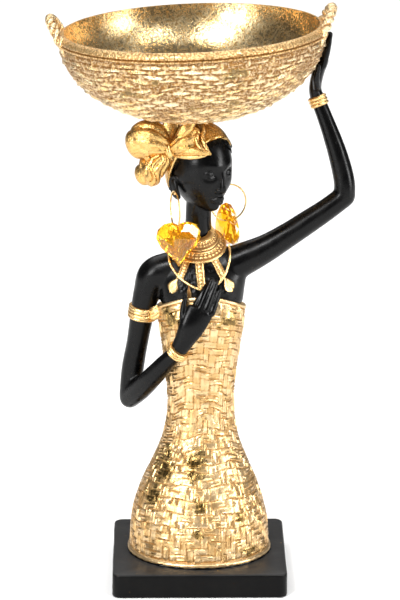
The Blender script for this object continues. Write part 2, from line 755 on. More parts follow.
def follow(rows, height):
    """Centre x, half width, centre y and half depth at each height, in smooth steps."""
    rows = np.asarray(rows, float)
    z, v = rows[:, 0], rows[:, 1:]
    last = len(rows) - 1
    h = np.clip(np.asarray(height, float), z[0], z[-1])
    i = np.clip(np.searchsorted(z, h, side="left") - 1, 0, last - 1)
    before, after = np.maximum(np.arange(last + 1) - 1, 0), np.minimum(np.arange(last + 1) + 1, last)
    slope = (v[after] - v[before]) / (z[after] - z[before])[:, None]
    span = (z[i + 1] - z[i])[..., None]
    t = ((h - z[i]) / (z[i + 1] - z[i]))[..., None]
    return np.moveaxis(glide(t, span, v[i], v[i + 1], slope[i], slope[i + 1]), -1, 0)


print("half width and half depth at the waist:", [round(float(v), 1) for v in follow(DRESS_ROWS, 100)[1::2]])

# %% Surface of the dress
HEM, TOP_SIDE, TOP_FRONT = 16.6, 154.0, 162.5


def dress_point(angles, share, out):
    top = TOP_SIDE + (TOP_FRONT - TOP_SIDE) * np.maximum(0, -np.sin(angles)) ** 1.5
    calm = np.sin(math.pi * np.clip(share, 0, 1)) ** 0.7
    wave = 0.9 * np.sin(3 * angles + 11 * share) + 0.7 * np.sin(7 * angles - 17 * share + 1)
    z = HEM + (top - HEM) * share + wave * calm
    x, wide, y, deep = follow(DRESS_ROWS, z)
    swell = sum(np.exp(-((angles - a) / 0.42) ** 2 - ((z - 148.5) / 9.0) ** 2) for a in (4.18, 5.3))
    grow = out + 1.5 * swell
    return round_ring(angles, wide + grow, z, deep + grow, x, y)


def girth_at(share):
    _, wide, _, deep = follow(DRESS_ROWS, HEM + (TOP_SIDE - HEM) * share)
    return math.pi * (3 * (wide + deep) - math.sqrt((3 * wide + deep) * (wide + 3 * deep)))


print("girth at the hem:", round(girth_at(0)), "mm")

# %% [markdown]
# One cell's relief is worked out on a grid of four steps each way. Across a float lie two ridges with a
# groove between them. At its ends a float dips under its neighbour, unless the next cell carries the same
# bundle on.

# %% Relief of the twill
CELL, STRAND_POINTS = 3.7, 4
WEAVE_DEPTH = 0.8
ACROSS_STRANDS = np.array([0.0, 1.0, 0.45, 1.0, 0.0])


def dip(place, joined_start, joined_end):
    """How a strand's end tucks in where its float stops, and runs on where it doesn't."""
    start = np.where(joined_start, 1.0, np.clip(0.3 + 3.2 * place, 0, 1))
    end = np.where(joined_end, 1.0, np.clip(0.3 + 3.2 * (1 - place), 0, 1))
    return np.minimum(start, end)


def cell_heights(kind, lift, place):
    """Relief on one ring of a row of cells. Kinds: 0 and 1 are a float across, 2 and 3 a float up."""
    column = np.tile(np.arange(STRAND_POINTS), len(kind))
    here = np.repeat(kind, STRAND_POINTS)
    ridge = ACROSS_STRANDS[int(round(place * STRAND_POINTS))]
    up = ACROSS_STRANDS[column] * dip(place, here == 3, here == 2)
    across = ridge * dip(column / STRAND_POINTS, here == 1, here == 0)
    height = np.where(here >= 2, up, across) * np.repeat(lift, STRAND_POINTS)
    left = np.roll(kind, 1)
    from_left = np.where(left >= 2, 0.0, ridge * np.where(left == 0, 1.0, 0.3)) * np.roll(lift, 1)
    height[::STRAND_POINTS] = np.maximum(height[::STRAND_POINTS], from_left)
    return height


halfway = cell_heights(np.array([0, 1]), np.ones(2), 0.25)
print("a float across, halfway up its cell:", halfway.round(2).tolist())

# %% [markdown]
# The rows of cells are stacked from the hem up, between a rolled hem and a plain top edge. Where two rows
# have the same number of cells they share a ring of points, which takes the higher of the two reliefs.
# The cells sway a little round the body, and now and then one is woven wrong, as it is on the real one.

# %% Rows of the weave
EDGE_POINTS = 240
WOVEN_WRONG = 0.08


def plain_ring(share, grow, deep, chip=0.0):
    angles = even(EDGE_POINTS)
    grow = grow + chip * np.sin(17 * angles + 3) * np.sin(29 * angles)
    ring = angles, dress_point(angles, share, grow)
    return ring, np.full(EDGE_POINTS, deep), np.full(EDGE_POINTS, 0.6)


def stack_rings(made, start, end):
    """A skin from rings that carry their hollow and tone."""
    rings, hollow, tone = zip(*made)
    return skin(list(rings), start, end), np.concatenate([*hollow, [0, 0]]), np.concatenate([*tone, [0, 0]])


def cells_by_row(edges):
    """A row keeps the number of the row below, unless its cells would get much too wide or too narrow."""
    counts = []
    for low, high in zip(edges[:-1], edges[1:]):
        wanted = girth_at((low + high) / 2) / CELL
        keep = counts and abs(counts[-1] - wanted) <= 2.6
        counts.append(counts[-1] if keep else 4 * int(round(wanted / 4)))
    return counts


def dress_form():
    rng = np.random.default_rng(7)
    made = [plain_ring(share, grow, 0.9 if grow < 0 else 0.15, 0.12) for share, grow in (
        (-0.025, 0.2), (-0.021, 0.9), (-0.015, 1.3), (-0.008, 1.3), (-0.003, 0.9), (0.0, -0.2))]
    rows = int(round((TOP_FRONT - HEM) / CELL))
    edges = np.linspace(0.003, 0.987, rows + 1)
    counts = cells_by_row(edges)
    steps = np.arange(STRAND_POINTS) / STRAND_POINTS
    below = None
    for row, cells in enumerate(counts):
        sway = 0.5 * np.sin(3 * even(cells) + 0.4 * cells) + 0.35 * np.sin(8 * even(cells) - 0.3 * cells)
        start = even(cells) + sway * (2 * math.pi / cells) * 0.55
        size = (np.roll(start, -1) - start) % (2 * math.pi)
        angles = np.repeat(start, STRAND_POINTS) + np.repeat(size, STRAND_POINTS) * np.tile(steps, cells)
        kind = (np.arange(cells) + row) % 4
        kind = np.where(rng.random(cells) < WOVEN_WRONG, (kind + 2) % 4, kind)
        lift, shades = rng.uniform(0.66, 1.05, cells), rng.random(cells)
        shared = row + 1 < rows and counts[row + 1] == cells
        for step in range(STRAND_POINTS + (0 if shared else 1)):
            place = step / STRAND_POINTS
            apart = 0.0005 if step == 0 and below is None else 0
            share = edges[row] + (edges[row + 1] - edges[row]) * place + apart
            height = cell_heights(kind, lift, place)
            if step == 0 and below is not None:
                height = np.maximum(height, below)
            made.append(((angles, dress_point(angles, share, -0.5 + WEAVE_DEPTH * height)),
                         1 - height, np.repeat(shades, STRAND_POINTS)))
        below = cell_heights(kind, lift, 1.0) if shared else None
    top_edge = ((0.988, 0.1), (0.991, 0.45), (0.996, 0.5), (1.0, 0.2))
    made += [plain_ring(share, grow, 0.1) for share, grow in top_edge]
    return stack_rings(made, (0, -1, 13.0), (1.3, -2.0, TOP_SIDE))


dress_skin, dress_hollow, dress_tone = dress_form()
dress = cast("dress", dress_skin, dress_leaf, dress_hollow, dress_tone)
print("dress triangles:", count(dress))

# %% [markdown]
# The black paint of the plinth climbs the hem a little in a ragged line. It could be painted on by the
# finish, but a thin uneven ring of black along the hem also gives the small step that thick paint leaves.

# %% Ragged paint at the hem


def paint_line():
    around, about = even(220)[:, None], even(8)[None]
    ragged = 0.5 + 0.3 * np.sin(9 * around + 2 * np.sin(5 * around)) * np.sin(23 * around + 1)
    foot = dress_point(around[:, 0], -0.019, 1.0)[:, None]
    out = np.stack([np.cos(around), np.sin(around), 0 * around], -1)
    up = np.array([0, 0, 1.0])
    way = out * np.cos(about)[..., None] + 1.5 * up * np.sin(about)[..., None]
    points = foot + ragged[..., None] * way
    return closed_grid(points[:, ::-1])


hem_paint = cast("line", paint_line(), skin_paint)
print("paint line triangles:", count(hem_paint))

# %% [markdown]
# ## The basket
#
# The basket is half an egg with a rim band. Its weave has upright stakes, and flat weft strands that pass
# over one stake and under the next. Between two floats the stake shows as a small bright wedge with a pit
# at each side. As on the dress, the mesh follows the strands. Towards the pole the stakes get too close,
# so every second one is left out there, as a basket maker does.

# %% Shape of the basket
BASKET = {"centre": (-3.7, 6.0), "tilt": 2.2, "radius": 72.3, "waist": 303.0, "bottom": 256.5, "top": 4.0,
          "inner": 69.2, "wall": 4.0, "band": -1.6}
DEPTH = BASKET["waist"] - BASKET["bottom"]
BASKET_TURN = (Matrix.Translation(Vector((*BASKET["centre"], BASKET["waist"])) * MM)
               @ Matrix.Rotation(math.radians(-BASKET["tilt"]), 4, "Y"))
WEFT_ROW, BASKET_RELIEF = 2.8, 1.75


def bowl_ring(angles, slope, out):
    """A ring on the half egg; slope is 0 at the waist and a right angle at the pole."""
    nx, nz = np.cos(slope) / BASKET["radius"], -np.sin(slope) / DEPTH
    size = np.hypot(nx, nz)
    r = BASKET["radius"] * np.cos(slope) + out * nx / size
    return round_ring(angles, r, -DEPTH * np.sin(slope) + out * nz / size)


def weft_rows():
    """Slopes at the edges of the weft rows, evenly spaced along the wall from the pole up."""
    fine = np.linspace(math.pi / 2 - 0.06, math.asin(-BASKET["band"] / DEPTH) + 0.012, 2000)
    x, z = BASKET["radius"] * np.cos(fine), -DEPTH * np.sin(fine)
    run = np.concatenate([[0], np.cumsum(np.hypot(np.diff(x), np.diff(z)))])
    rows = int(round(run[-1] / WEFT_ROW))
    return np.interp(np.linspace(0, run[-1], rows + 1), run, fine)


print("basket rows:", len(weft_rows()) - 1)

# %% Weave of the basket
FLOAT_HEIGHT = np.array([1.0, 0.97, 0.8, 0.42, 0.0])
STRAND_HEIGHT = [0.0, 1.0, 0.72]
STAKES_OUTSIDE = ((40, 60), (18, 30), (0, 14))


def weave_rings():
    """Rings of the weave from the pole up, with how deep they lie and their strands' shades."""
    rng = np.random.default_rng(11)
    edges = weft_rows()
    made = []
    for row in range(len(edges) - 1):
        radius = BASKET["radius"] * math.cos(edges[row + 1])
        stakes = next(number for least, number in STAKES_OUTSIDE if radius > least)
        column = np.tile(np.arange(4), stakes)
        stake = np.repeat(np.arange(stakes), 4)
        angles = 2 * math.pi * (np.arange(4 * stakes) / (4 * stakes)) + 0.012 * math.sin(row * 2.1)
        over = (stake + row) % 2 == 0
        weft = FLOAT_HEIGHT[np.where(over, column, 4 - column)]
        upright = (column == 0) & ~over
        lift, tip = rng.uniform(0.5, 1.15, stakes), rng.uniform(-0.5, 0.5, stakes)
        shades = rng.random(stakes)
        owner = np.where(over, stake, (stake + 1) % stakes)
        wander = 0.35 * np.sin(5 * angles + 0.4 * row) + 0.25 * np.sin(13 * angles - 0.3 * row)
        lean = tip[owner] * np.where(over, column, column - 4) / 4
        stray = (wander + lean) * min(1.0, (len(edges) - 2 - row) / 3)
        for step in range(4 if row == len(edges) - 2 else 3):
            slope = edges[row] + (edges[row + 1] - edges[row]) * (step / 3 + stray)
            height = weft * lift[owner] * (0.1 + 0.9 * STRAND_HEIGHT[step % 3])
            height = np.where(upright, 0.56 + 0.06 * math.sin(step), height)
            height += rng.normal(0, 0.05, len(height))
            ring = angles, bowl_ring(angles, slope, -1.1 + BASKET_RELIEF * height)
            made.append((ring, 1 - height, shades[owner]))
    return made


woven = weave_rings()
print("rings in the weave:", len(woven))

# %% [markdown]
# Above the weave come a rolled cord and a plain band with a rounded lip. They are the same all round, so a
# short profile of radius, height and depth gives them, with a slight waver. The faces of this band get the
# stippled leaf.

# %% Band of the basket and its casting
BAND_POINTS = 160


def band_rings():
    r, top = BASKET["radius"], BASKET["top"]
    angles = even(BAND_POINTS)
    profile = [
        (r - 0.9, -1.55, 1), (r + 0.2, -1.35, 0.4), (r + 0.8, -0.95, 0), (r + 0.85, -0.5, 0),
        (r + 0.3, -0.1, 0.4), (r - 0.45, 0.05, 1), (r + 0.1, 0.4, 0.5), (r + 0.25, 1.1, 0),
        (r - 0.05, 2.0, 0), (r - 0.6, 2.9, 0), (r - 1.3, 3.6, 0), (r - 2.1, top, 0),
        (BASKET["inner"] + 0.1, top + 0.05, 0), (BASKET["inner"] - 4, top, 0),
    ]
    made = []
    for radius, z, deep in profile:
        waver = 0.12 * np.sin(7 * angles + radius) * np.sin(11 * angles)
        ring = angles, round_ring(angles, radius + waver, z)
        made.append((ring, np.full(BAND_POINTS, float(deep)), np.full(BAND_POINTS, 0.6)))
    return made


poles = (0, 0, -DEPTH), (0, 0, BASKET["top"])
basket_skin, basket_hollow, basket_tone = stack_rings(woven + band_rings(), *poles)
basket = cast("basket", basket_skin, basket_leaf, basket_hollow, basket_tone, BASKET_TURN)
band_from = sum(len(angles) for (angles, _), _, _ in woven)
for face in basket.data.polygons:
    if min(face.vertices) >= band_from:
        face.material_index = CASTING.index(band_leaf)
print("basket triangles:", count(basket))

# %% [markdown]
# The inside is a smooth half egg that is cut out of the solid one. It is a little uneven, because the
# pattern was pressed by hand, and that is what breaks up its reflections.

# %% Hollow of the basket


def hollow_form():
    top = BASKET["top"]
    total = DEPTH - BASKET["wall"] + top
    rows, angles = 18, even(96)
    rings = []
    for k in range(1, rows + 1):
        slope = (math.pi / 2) * (1 - k / rows)
        uneven = 0.35 * np.sin(3 * angles + 5 * slope) * np.sin(2 * slope + 0.5)
        uneven += 0.15 * np.sin(9 * angles + 14 * slope)
        fade = min(1, 3 * math.sin(slope))
        r = (BASKET["inner"] + uneven * fade) * math.cos(slope)
        rings.append((angles, round_ring(angles, r, top - total * math.sin(slope))))
    rings.append((angles, round_ring(angles, BASKET["inner"] + 0.3, top + 3)))
    return skin(rings, (0, 0, top - total), (0, 0, top + 3))


cutter = cast("hollow", hollow_form(), inner_leaf, turn=BASKET_TURN)
fuse(basket, cutter, operation="DIFFERENCE")
print("hollow basket triangles:", count(basket))

# %% [markdown]
# Each handle is a rope of two strands twisted round each other in an arch, with its ends pressed flat on
# the rim band. Two limbs that circle a common path give the twist for free. The nearer a point lies to
# that path, the deeper it is in the groove between the strands.

# %% Rope handles
HANDLE = {"half_angle": 14.0, "rise": 14.2, "lean": 5.0, "turns": 5.0, "strand": 1.55, "orbit": 1.25}
ROPE_POINTS = 61


def handle_path(sign):
    share = np.linspace(0, 1, ROPE_POINTS)
    angle = np.radians(HANDLE["half_angle"] * (1 - 2 * share)) * (1 + 0.1 * np.sin(math.pi * share))
    arch = np.sin(math.pi * share) ** 0.7
    r = BASKET["radius"] - 1.2 + HANDLE["lean"] * arch
    z = BASKET["band"] - 1 + HANDLE["rise"] * arch
    return share, np.stack([sign * r * np.cos(angle), r * np.sin(angle), z], -1)


def rope(sign):
    share, path = handle_path(sign)
    way = np.gradient(path, axis=0)
    way /= np.linalg.norm(way, axis=1)[:, None]
    across = np.cross(way, (0, 0, 1))
    across /= np.linalg.norm(across, axis=1)[:, None]
    other = np.cross(way, across)
    forms = []
    for start in (0, math.pi):
        spin = 2 * math.pi * HANDLE["turns"] * share + start
        orbit = HANDLE["orbit"] * np.minimum(1, 12 * np.minimum(share, 1 - share) + 0.35)
        centre = path + across * (orbit * np.cos(spin))[:, None] + other * (orbit * np.sin(spin))[:, None]
        stations = np.column_stack([centre, np.full(ROPE_POINTS, HANDLE["strand"])])
        form = limb(stations.tolist(), sides=9, steps=52, side=(sign, 0, 0), cap=2)
        away = np.linalg.norm(form[0][:, None] - path[None], axis=2).min(1)
        forms.append((form, np.clip(1.9 - away / 1.6, 0, 1)))
    for end in (0, -1):
        foot, up = path[end], path[4 if end == 0 else -5]
        low = foot + np.array([-sign * 0.4, 0, -2.2])
        form = limb([[*low, 1.2, 2.2], [*foot, 1.7, 2.9], [*((foot + up) / 2), 1.8, 2.4], [*up, 1.4, 1.6]],
                    sides=12, steps=10, side=(sign, 0, 0), cap=2)
        forms.append((form, 0.3))
    return forms


for sign in (-1, 1):
    for form, deep in rope(sign):
        fuse(basket, cast("rope", form, basket_leaf, deep, 0.6, BASKET_TURN))
print("basket with handles:", count(basket))

# %% [markdown]
# ## Arms, shoulders and neck
#
# The torso and the arms are simple limbs that overlap. On the casting they flow into each other, so they
# are melted: cells of one millimetre, a few strokes of smoothing, then thinned to what the form needs.

# %% Arms and torso
BENT_UPPER = [
    [-15, 0.6, 174.4, 9.2], [-24.4, 1.4, 170.4, 9.1], [-28.4, 2.2, 161, 7.5], [-30.8, 3, 150, 6.8],
    [-33.8, 5, 132, 6.0], [-36.6, 7, 115.6, 6.2], [-38.4, 7.6, 100, 5.8],
]
BENT_FORE = [
    [-38.2, 7.2, 98.4, 5.9], [-32.6, -0.5, 105.4, 6.1], [-25.4, -9.5, 115.4, 5.7], [-17.6, -16.6, 126, 4.9],
    [-11.8, -20.6, 132.8, 4.6, 4.1],
]
RAISED_UPPER = [
    [14, 0.6, 174.6, 10.2], [25, 0.6, 179.6, 9.1], [37, 0.4, 185.6, 7.7], [49.6, 0.0, 193.6, 6.8],
    [59.8, -0.4, 200.6, 6.5], [69.5, -0.8, 207.4, 6.1], [79.0, -1.0, 214.8, 5.9],
]
RAISED_FORE = [
    [79.2, -1.0, 215.2, 5.9], [79.0, -0.6, 223, 5.8], [76.6, 0.4, 233.6, 5.5], [73.4, 1.6, 244, 5.0],
    [68.6, 3.4, 257, 4.3], [64.6, 5.0, 267, 4.0],
]


def torso_form():
    angles = even(72)
    low, high = TORSO_ROWS[0][0] - 8, TORSO_ROWS[-1][0]
    rings = []
    for z in np.linspace(low, high, 60):
        x, wide, y, deep = follow(TORSO_ROWS, z)
        shrink = 1.2 if z < 156 else 0.0
        collar_bone = 0.7 * np.exp(-((z - 178) / 2.2) ** 2) * np.maximum(0, -np.sin(angles)) ** 2
        rings.append((angles, round_ring(angles, wide - shrink, z, deep - shrink + collar_bone, x, y)))
    return skin(rings, (1.3, -2, low), (0.4, 0.6, high))


body_forms = [
    torso_form(), oval((-13, 2.4, 172), (9.5, 9.2, 9.0)), oval((17, 1.4, 174), (10, 9.4, 9.0)),
    limb(BENT_UPPER, 40, 60, (0, 1, 0), cap=6), limb(BENT_FORE, 40, 50, (1, 0, 0.6), cap=6),
    limb(RAISED_UPPER, 40, 60, (0, 1, 0), cap=6), limb(RAISED_FORE, 40, 50, (0, 1, 0), cap=6),
]
body = melt("body", body_forms, skin_paint, cell=1.0, passes=5, keep=11000)

# %% [markdown]
# The hands lie flat with the fingers side by side. The grooves between the fingers must survive, so the
# hands are melted with much smaller cells and hardly any smoothing.

# %% Hands
CHEST_HAND = {
    "palm": [[-11.8, -20.6, 132.8, 4.6, 3.9], [-8.2, -22.2, 139.4, 5.5, 3.7], [-4.0, -23.2, 147.6, 7.1, 3.3],
             [0.2, -22.4, 155.6, 7.4, 2.9]],
    "roots": [[-3.4, -22.2, 156.6], [0.2, -22.9, 157.4], [3.6, -22.8, 157.0], [6.7, -22.0, 155.0]],
    "tips": [[4.4, -16.4, 169.7], [7.0, -16.2, 172.2], [9.4, -16.2, 170.8], [11.2, -16.4, 166.4]],
    "thumb": [[-8.8, -22.2, 146, 2.3], [-8.9, -21.8, 155.6, 1.8], [-7.4, -18.8, 165, 1.1]],
}
BASKET_HAND = {
    "palm": [[64.6, 5.0, 267, 3.9, 3.9], [63.0, 6.2, 273, 5.2, 3.4], [64.4, 7.6, 281, 6.8, 3.2],
             [67.4, 8.4, 288, 7.0, 2.8]],
    "roots": [[67.0, 2.6, 286.5], [67.6, 6.4, 287.6], [67.6, 10.2, 287.4], [67.0, 13.8, 285.6]],
    "tips": [[70.4, 1.8, 300.0], [71.0, 6.4, 303.0], [70.8, 11.0, 302.4], [69.8, 15.2, 298]],
    "thumb": [[63.6, 0.8, 275, 2.1], [63.2, -3.4, 281, 1.8], [64.4, -5.4, 288, 1.1]],
}
FINGER = 1.95


def hand_forms(hand, side):
    forms = [limb(hand["palm"], 28, 24, side, cap=5), limb(hand["thumb"], 16, 20, side)]
    for root, tip in zip(hand["roots"], hand["tips"]):
        middle = [(a + b) / 2 for a, b in zip(root, tip)]
        stations = [[*root, FINGER], [*middle, FINGER * 0.96], [*tip, FINGER * 0.66]]
        forms.append(limb(stations, 16, 20, side))
    return forms


chest_hand = melt("chest_hand", hand_forms(CHEST_HAND, (1, 0, -0.35)), skin_paint,
                  cell=0.38, passes=1, keep=5000)
basket_hand = melt("basket_hand", hand_forms(BASKET_HAND, (0, 1, 0)), skin_paint,
                   cell=0.42, passes=1, keep=3600)

# %% [markdown]
# ## The head
#
# The head is an egg that is turned and nodded a little. The face is a plain carved one, calm, with
# lowered lids, on the proportions that drawing books give: eyes at half height, the nose halfway from
# there to the chin, the mouth a third of the way below it. Each feature is a small form on the egg,
# melted together. Broad dips and swellings, such as eye sockets and cheeks, are soft mounds that move the
# egg's points back or forward.

# %% Egg of the head
HEAD = {"centre": (0.9, 0, 231.4), "yaw": 39, "pitch": 8, "side": 16.0, "depth": 18.8, "height": 24.0}
HEAD_TURN = (Matrix.Translation(Vector(HEAD["centre"]) * MM)
             @ Matrix.Rotation(math.radians(HEAD["yaw"]), 4, "Z")
             @ Matrix.Rotation(math.radians(HEAD["pitch"]), 4, "X"))


def mound(p, at, spread):
    return np.exp(-(((p - np.array(at)) / np.array(spread)) ** 2).sum(-1))


def egg(d, grow=0.0, lower=0.0):
    """The head's egg in the directions d, grown by one length and with its crown lower by another."""
    return d * (np.array([HEAD["side"], HEAD["depth"], HEAD["height"] - lower]) + grow)


def skull(d):
    p = egg(d)
    low = np.clip(-d[:, 2], 0, 1)
    p[:, 0] *= 1 - 0.38 * low ** 2.4
    p[:, 1] *= np.where(d[:, 1] > 0, 1 - 0.5 * low ** 1.4, 1 + 0.04 * low)
    socket = sum(mound(p, (6.2 * s, -16.4, 1.2), (3.7, 5, 3.0)) for s in (-1, 1))
    cheek = sum(mound(p, (8.6 * s, -13.2, -5.8), (4.2, 5, 4.2)) for s in (-1, 1))
    chin = mound(p, (0, -10.5, -20.5), (6.0, 7.5, 5.0))
    muzzle = mound(p, (0, -17, -13.5), (5.5, 5, 5))
    brow = sum(mound(p, (5.4 * s, -17.6, 6.2), (4.6, 4, 2.4)) for s in (-1, 1))
    p[:, 1] += 2.1 * socket - 0.8 * cheek - 5.0 * chin - 1.5 * muzzle - 0.8 * brow
    return p


print("head height:", 2 * HEAD["height"], "mm")

# %% Features of the head


def head_forms():
    up = (0, 0, 1)
    forms = [
        ball(96, 80, skull),
        limb([[0, -17.2, 4.6, 1.0, 1.2], [0, -18.7, -0.6, 1.2, 1.6], [0, -20.2, -6.2, 1.8, 2.0],
              [0, -19.0, -8.2, 1.6, 1.5]], 24, 24, cap=5),
        limb([[-3.8, -16.9, -13.3, 0.5, 0.6], [-1.3, -18.5, -12.5, 1.0, 1.05], [0, -18.3, -12.8, 0.9, 0.95],
              [1.3, -18.5, -12.5, 1.0, 1.05], [3.8, -16.9, -13.3, 0.5, 0.6]], 20, 36, up),
        limb([[-3.5, -16.9, -13.9, 0.5, 0.5], [0, -18.5, -14.9, 1.25, 1.25], [3.5, -16.9, -13.9, 0.5, 0.5]],
             20, 30, up),
    ]
    for s in (-1, 1):
        lid = [[s * 2.9, -16.0, 0.5, 0.3], [s * 5.0, -17.0, -0.3, 0.42], [s * 7.2, -16.7, -0.5, 0.42],
               [s * 9.6, -14.6, 0.3, 0.3]]
        crease = [[s * 2.9, -15.6, 1.0, 0.28], [s * 4.8, -16.6, 3.3, 0.36], [s * 7.4, -16.3, 3.3, 0.36],
                  [s * 9.8, -14.2, 1.2, 0.28]]
        ear = [[s * 15.2, 1.6, -4.2, 1.3, 1.0], [s * 16.1, 2.2, -6.6, 2.2, 1.25],
               [s * 16.1, 0.8, -10.6, 2.7, 1.3], [s * 14.9, -0.6, -15.0, 2.2, 1.5]]
        helix = [[s * 16.0, -0.2, -5.0, 0.5], [s * 17.0, 2.4, -3.9, 0.65], [s * 17.4, 4.2, -6.8, 0.7],
                 [s * 17.0, 3.2, -11.4, 0.65], [s * 16.0, 0.9, -15.2, 0.6]]
        forms += [
            oval((s * 2.3, -17.9, -7.9), (1.5, 1.9, 1.35), 20, 14),
            oval((s * 6.2, -13.9, 0.9), (3.4, 3.0, 2.35), 28, 20),
            limb(lid, 12, 24, up, cap=3), limb(crease, 12, 24, up, cap=3),
            limb(ear, 20, 26, (0, 1, 0)), limb(helix, 12, 30, (0, 1, 0), cap=3),
        ]
    return forms


head = melt("head", head_forms(), skin_paint, cell=0.42, passes=2, keep=10500, turn=HEAD_TURN)
stud = oval((-17.1, -0.7, -12.6), (0.9, 0.9, 0.9), 12, 8)
fuse(head, cast("stud", stud, trim_gilt, 0.0, 1.0, HEAD_TURN))
print("head with its ear stud:", count(head))

# %% [markdown]
# Combed hair shows as a narrow black strip between the brow and the wrap. It is the egg of the head grown
# by three quarters of a millimetre, with fine ridges that run back over it. The wrap's edge is an arch
# over the brow whose sides lean back to the ears. The space in front of that arch is a form of its own,
# which cuts both: the hair is cut a little lower and further forward than the wrap, so a strip of it
# stays in sight.

# %% Hair strip
EDGE_LEAN = math.tan(math.radians(20.8))
EDGE_AT = Vector((0, -1.4, 14.8))


def brick(low, high, turn):
    """A plain block to cut with."""
    low, high = np.array(low, float), np.array(high, float)
    corners = np.array([[x, y, z] for z in (0, 1) for y in (0, 1) for x in (0, 1)], float)
    form = (low + corners * (high - low),
            [[0, 2, 3, 1], [4, 5, 7, 6], [0, 1, 5, 4], [2, 6, 7, 3], [0, 4, 6, 2], [1, 3, 7, 5]])
    return cast("brick", form, skin_paint, turn=turn)


def brow_height(x):
    """The wrap's edge makes an arch over the forehead."""
    return 20.2 - 0.042 * np.minimum(np.abs(x), 17) ** 2


def face_opening(lower=0.0, forward=0.0):
    """Everything in front of the wrap's edge, or of an edge that is lower and further forward."""
    rings = []
    for x in np.linspace(-30, 30, 41):
        top = brow_height(x) - lower
        back = EDGE_AT.y - forward + (EDGE_AT.z - np.array([-70, top])) * EDGE_LEAN
        corners = [[x, -50, -70], [x, back[0], -70], [x, back[1], top], [x, -50, top]]
        rings.append((even(4), np.array(corners)))
    return cast("opening", skin(rings, (-30, -20, -20), (30, -20, -20)), skin_paint, turn=HEAD_TURN)


def hair_points(d):
    comb = 0.16 * np.sin(70 * np.arctan2(d[:, 0], d[:, 2] + 1.2) + 3 * d[:, 1])
    return egg(d, 0.75 + comb[:, None])


hair = cast("hair", ball(150, 24, hair_points), skin_paint, turn=HEAD_TURN)
crown, back_half = ((-30, -30, 21.8), (30, 30, 40)), ((-30, 2, -40), (30, 30, 40))
cutters = brick(*crown, HEAD_TURN), brick(*back_half, HEAD_TURN), face_opening(3.6, 2.4)
fuse(hair, *cutters, operation="DIFFERENCE")
print("hair triangles:", count(hair))

# %% [markdown]
# ## The headwrap
#
# The wrap is one long cloth: a close cap, a knot over the temple, two plump lobes that stand out from it,
# a third fold that lies on the forehead and ends in a point, and two small folds that fill the gap above
# the knot. Cloth that is pulled into a knot gathers in sharp valleys and round ridges that all aim at the
# knot. On the cap that is a pattern of the angle round the knot. On the lobes it is a pattern of the
# angle round their path, strong at the knot and gone at the far end. Thin rolls finish the open edges.

# %% Cap of the wrap
KNOT = np.array([-0.85, 0.17, 0.49])
KNOT /= np.linalg.norm(KNOT)
KNOT_X = np.cross(KNOT, (0, 0, 1.0))
KNOT_X /= np.linalg.norm(KNOT_X)
KNOT_Y = np.cross(KNOT, KNOT_X)


def gathers(angle, number):
    """Round ridges and sharp valleys, from 0 to 1."""
    return np.abs(np.sin(angle * number / 2)) ** 0.7


def cap_relief(d):
    round_knot = np.arctan2(d @ KNOT_Y, d @ KNOT_X)
    away = np.arccos(np.clip(d @ KNOT, -1, 1))
    pull = 1.1 * np.exp(-(away / 0.75) ** 2) + 0.35
    wander = 0.5 * np.sin(3 * away + 2 * round_knot)
    return pull, gathers(round_knot + 0.25 * wander, 22)


def cap_points(d):
    pull, ridge = cap_relief(d)
    grow = 1.95 + pull * (ridge - 0.35)
    return egg(d, grow[:, None], 0.6) + (0, 0.6, 0)


cap_form = ball(132, 46, cap_points)
unit = cap_form[0] / np.linalg.norm(cap_form[0], axis=1)[:, None]
cap = cast("cap", cap_form, wrap_leaf, 1 - cap_relief(unit)[1], 0.5, HEAD_TURN)
fuse(cap, face_opening(), operation="DIFFERENCE")
neck_cut = Matrix.Rotation(math.radians(-18), 4, "X") @ Matrix.Translation(Vector((0, 0, -31.5)) * MM)
fuse(cap, brick((-30, -30, -20), (30, 30, 20), HEAD_TURN @ neck_cut), operation="DIFFERENCE")
print("cap triangles:", count(cap))

# %% Rolled hems of the cap


def edge_roll(sign):
    """The rolled hem down the side, from over the temple to behind the ear."""
    places = []
    for z in np.linspace(13.5, -12, 9):
        y = EDGE_AT.y + (EDGE_AT.z - z) * EDGE_LEAN + 0.6
        rest = 1 - (y / (HEAD["depth"] + 1.6)) ** 2 - (z / (HEAD["height"] + 1.2)) ** 2
        places.append([sign * (HEAD["side"] + 1.3) * math.sqrt(rest), y, z, 1.15])
    return limb(places, 14, 36, (0, 1, 0), cap=3)


def brow_roll():
    """The rolled hem over the forehead."""
    places = []
    for x in np.linspace(-13.6, 13.6, 15):
        z = brow_height(x) + 0.2 + 0.2 * math.sin(0.9 * x)
        rest = 1 - (x / (HEAD["side"] + 1.2)) ** 2 - (z / (HEAD["height"] + 1.0)) ** 2
        places.append([x, 0.6 - (HEAD["depth"] + 1.2) * math.sqrt(rest), z, 0.9])
    return limb(places, 14, 48, (0, 0, 1), cap=3)


for form in (edge_roll(-1), edge_roll(1), brow_roll()):
    fuse(cap, cast("hem", form, wrap_leaf, 0.0, 0.8, HEAD_TURN))
print("cap with its hems:", count(cap))

# %% Lobes, folds, knot and rolled edges


def lobe(stations, side, pleats, depth, sides, phase):
    """A gathered limb, and how deep its points lie between the gathers."""
    def shape(angle, t):
        fade = (1 - t) ** 0.35 * min(1, 0.35 + 3 * t)
        return 1 + depth * fade * (gathers(angle + phase + 0.35 * math.sin(3 * t), pleats) - 0.75)

    form = limb(stations, sides, 22, side, shape, cap=6)
    ridge = np.tile(gathers(even(sides) + phase, pleats), len(form[0]) // sides)
    return form, 0.85 * (1 - np.concatenate([ridge, [0.5, 0.5]]))


